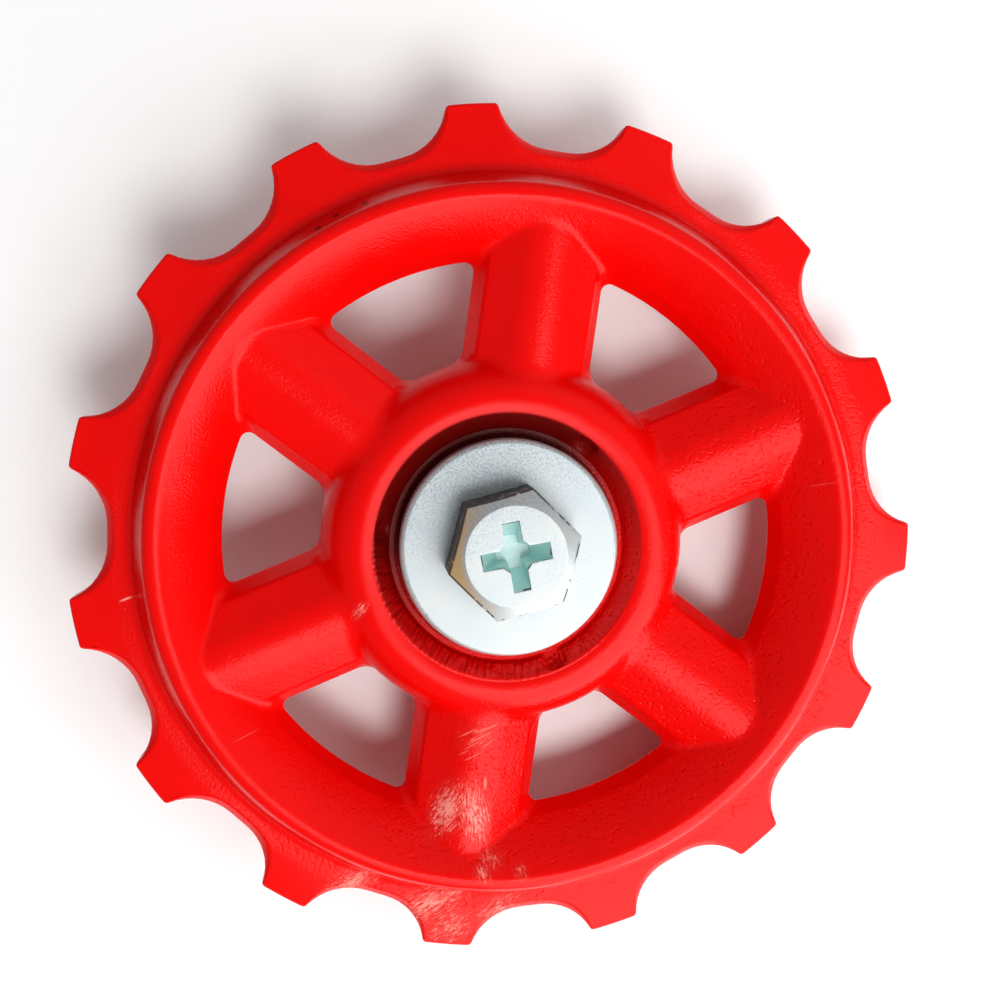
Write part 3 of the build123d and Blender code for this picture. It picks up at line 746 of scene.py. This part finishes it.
def plain_metal(name, shade, roughness, grain_size):
    """A ground or pressed steel: grey, with a fine grain in its gloss."""
    made, tree, shader, place = material(name)
    grain = put(tree, "ShaderNodeTexNoise", {"Vector": place, "Scale": 1 / grain_size, "Detail": 2.0})
    rough = put(tree, "ShaderNodeMapRange", {"Value": grain, 1: 0.3, 2: 0.7,
                                             3: roughness * 0.75, 4: roughness * 1.25})
    tree.links.new(rough, shader.inputs["Roughness"])
    shader.inputs["Base Color"].default_value = colour(shade)
    shader.inputs["Metallic"].default_value = 1.0
    return made


def cage_polyamide():
    """Undyed moulded polyamide: a warm ivory, matt and slightly cloudy."""
    made, tree, shader, place = material("natural_polyamide")
    cloud = put(tree, "ShaderNodeTexNoise", {"Vector": place, "Scale": 1 / 1.5, "Detail": 2.0})
    tint = put(tree, "ShaderNodeMix", {0: cloud, 6: colour("#DDD2B8"), 7: colour("#E8E0CA")},
               "Result", data_type="RGBA")
    tree.links.new(tint, shader.inputs["Base Color"])
    shader.inputs["Roughness"].default_value = 0.5
    shader.inputs["IOR"].default_value = 1.53
    return made


red = moulded_red()
zinc = zinc_plate("clear_passivated_zinc")
head_zinc = zinc_plate("clear_passivated_zinc_bolt", head=True)
race_steel = plain_metal("ground_bearing_steel", "#C6C7C9", 0.18, 0.2)
shield_steel = plain_metal("pressed_shield_steel", "#B4B5B6", 0.34, 0.25)
ivory = cage_polyamide()

# The moulding: fifteen tooth sectors, six window sectors and three gate sectors welded into one skin.
sectors = {"Tooth": (tooth_sector, TEETH, FIRST_TOOTH), "Window": (window_sector, SPOKES, FIRST_WINDOW),
           "Gate": (hub_sector, GATES, FIRST_WINDOW)}
tree, sockets = around_tree("wheel_from_sectors", sectors)
values = {"Weld Distance": WELD * MM, "Material": red}
for label, (shape, count, first) in sectors.items():
    values[f"{label} Sector"] = mesh_object(f"{label.lower()}_sector", *shape())
    values[f"{label} Count"] = count
    values[f"{label} First Angle"] = first
wheel = plain_mesh("wheel_moulding", tree, sockets, values)
for label in sectors:
    bpy.data.objects.remove(values[f"{label} Sector"])
wheel.data.set_sharp_from_angle(angle=radians(50))
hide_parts("toothed_wheel")
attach(wheel, "wheel")

# The bolt: the solid's head and shank with an M5 x 0.8 thread.
tree, sockets = thread_tree("bolt_thread")
thread = plain_mesh("bolt_thread", tree, sockets, {
    "Start": THREAD_START * MM, "End": BOLT_END * MM, "Radius": THREAD_RADIUS * MM, "Pitch": THREAD_PITCH * MM,
    "Depth": THREAD_DEPTH * MM, "Chamfer": THREAD_CHAMFER * MM, "Material": head_zinc})
bolt_mesh = bolt_with_thread(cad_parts["axle_bolt"].data, thread.data)
bolt = bpy.data.objects.new("axle_bolt_threaded", bolt_mesh)
bpy.data.objects.remove(thread)
bpy.context.scene.collection.objects.link(bolt)
bolt.data.materials.clear()
bolt.data.materials.append(head_zinc)
area_normals(bolt.data, cos(radians(35)))
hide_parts("axle_bolt")
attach(bolt, "axle")

finishes = {"front_washer": zinc, "rear_washer": zinc, "front_spacer": zinc, "rear_spacer": zinc,
            "axle_bolt": zinc, "bearing_cage": ivory, "front_shield": shield_steel, "rear_shield": shield_steel}
for name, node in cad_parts.items():
    node.data.materials.clear()
    node.data.materials.append(finishes.get(name, race_steel))

# The table: a sheet of white paper on which the wheel lies tilted, on its bolt's end and its back ridge.
lean = np.array((cos(PAPER_RISE), sin(PAPER_RISE)))
tip = THREAD_RADIUS - THREAD_CHAMFER
climb = (-RIDGE_HEIGHT - BOLT_END) / (REST_RADIUS - tip)
base = BOLT_END - tip * climb - PAPER_GAP
square = [(x * PAPER_HALF, y * PAPER_HALF) for x, y in ((-1, -1), (1, -1), (1, 1), (-1, 1))]
corners = np.array([(x, y, base + climb * (lean @ (x, y))) for x, y in square])
paper = mesh_object("paper_sheet", corners, np.array([(0, 1, 2, 3)]))
made, tree, shader, place = material("white_paper")
fibres = put(tree, "ShaderNodeTexNoise", {"Vector": place, "Scale": 1 / 0.6, "Detail": 2.0})
tint = put(tree, "ShaderNodeMix", {0: fibres, 6: colour("#FAFAFA"), 7: colour("#FCFCFC")},
           "Result", data_type="RGBA")
tree.links.new(tint, shader.inputs["Base Color"])
shader.inputs["Roughness"].default_value = 0.9
shader.inputs["Specular IOR Level"].default_value = 0.1
# Painted light: away from the wheel the sheet glows for camera and gloss rays and shows white there and in the
# metal's gloss, while close to the wheel it keeps its shade.
seen = put(tree, "ShaderNodeLightPath", out="Is Camera Ray")
for ray in ("Is Glossy Ray", "Is Transmission Ray"):
    seen = put(tree, "ShaderNodeMath", {0: seen, 1: put(tree, "ShaderNodeLightPath", out=ray)}, operation="MAXIMUM")
away = put(tree, "ShaderNodeVectorMath", {0: place}, "Value", operation="LENGTH")
clear = put(tree, "ShaderNodeMapRange", {"Value": away, 1: 25.0, 2: 42.0, 3: 0.0, 4: 0.14})
glow = put(tree, "ShaderNodeMath", {0: seen, 1: clear}, operation="MULTIPLY")
shader.inputs["Emission Color"].default_value = colour("#FFFFFF")
tree.links.new(glow, shader.inputs["Emission Strength"])
paper.data.materials.append(made)

# Daylight from the near right: a tall window, which alone shows in the gloss, a bright sky high behind it that
# throws the shadows, a pale wall across from them, and a dim white room. Angles are in degrees, sizes in metres.
LAMPS = (
    # name, azimuth, elevation, distance, width, height, watts
    ("high_sky", -66, 70, 0.3, 0.095, 0.095, 0.43),
    ("tall_window", -44, 38, 0.4, 0.45, 0.68, 2.0),
    ("pale_wall", 50, 33, 0.4, 0.4, 0.36, 0.4),
)
for name, azimuth, elevation, distance, width, height, watts in LAMPS:
    azimuth, elevation = radians(azimuth), radians(elevation)
    pane = bpy.data.lights.new(name, "AREA")
    pane.shape = "RECTANGLE"
    pane.size = width
    pane.size_y = height
    pane.energy = watts
    lamp = bpy.data.objects.new(name, pane)
    away = Vector((cos(azimuth) * cos(elevation), sin(azimuth) * cos(elevation), sin(elevation)))
    lamp.location = distance * away
    lamp.rotation_euler = lamp.location.to_track_quat("Z", "Y").to_euler()
    lamp.visible_glossy = name == "tall_window"
    bpy.context.scene.collection.objects.link(lamp)
room = bpy.data.worlds.new("dim_white_room")
room.use_nodes = True
background = room.node_tree.nodes["Background"]
background.inputs["Color"].default_value = colour("#FFFFFF")
background.inputs["Strength"].default_value = 0.19
bpy.context.scene.world = room

# The camera that a fit of the tooth outline to the photograph gave.
lens = bpy.data.cameras.new("camera")
lens.sensor_width = 36
lens.lens = 45.3525
lens.clip_start = 0.005
camera = bpy.data.objects.new("camera", lens)
camera.location = (-12.348 * MM, 11.388 * MM, 86.303 * MM)
camera.rotation_euler = (radians(-6.75), radians(-6.987), radians(7.934))
bpy.context.scene.collection.objects.link(camera)
bpy.context.scene.camera = camera
bpy.context.scene.view_settings.view_transform = "Standard"
